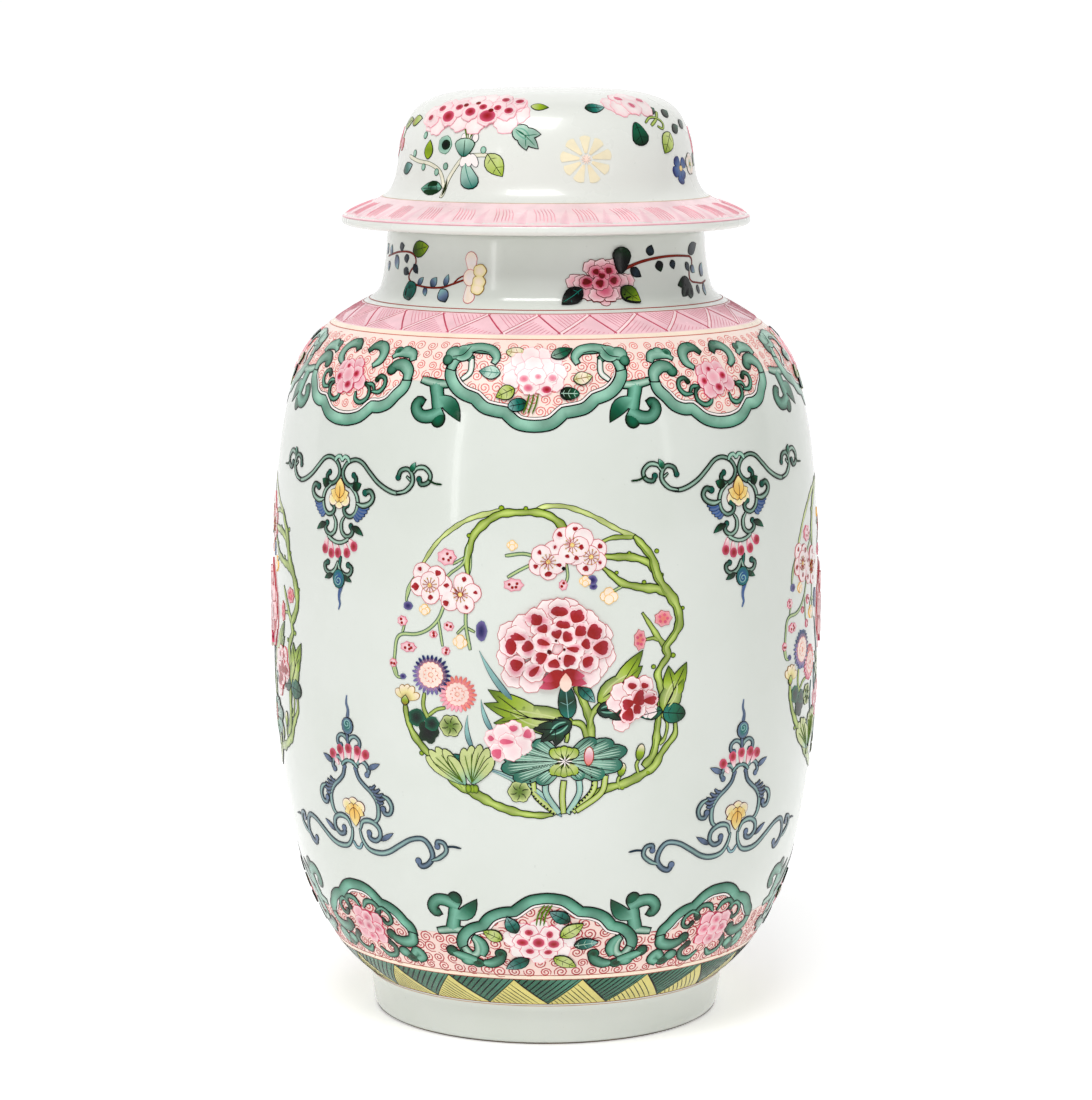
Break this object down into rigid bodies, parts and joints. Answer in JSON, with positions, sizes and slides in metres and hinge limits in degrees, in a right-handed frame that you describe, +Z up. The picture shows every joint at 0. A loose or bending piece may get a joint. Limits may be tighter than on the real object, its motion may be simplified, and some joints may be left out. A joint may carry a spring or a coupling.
{
  "type": "lidded ginger jar",
  "caption": "Tall glazed porcelain jar with a foot ring and upright neck, closed by a domed lid with a wide flange and an inner locating collar.",
  "frame": {"origin": "on the jar's axis, in the plane the foot ring stands on", "axes": "+Z up along the axis of the jar and lid, -Y through the middle of one of the four round flower panels"},
  "size_m": [0.258, 0.258, 0.4382],
  "materials": {
    "jar_porcelain": "clear gloss glaze on white porcelain, painted in raised overglaze enamels",
    "lid_porcelain": "clear gloss glaze on white porcelain, painted in raised overglaze enamels"
  },
  "bodies": {
    "jar": {"jar_body": "jar_porcelain"},
    "lid": {"lid": "lid_porcelain"}
  },
  "joints": [
    {"name": "lid_lift", "type": "slide", "parent": "jar", "child": "lid", "axis": [0, 0, 1], "range_m": [0, 0.2]}
  ]
}
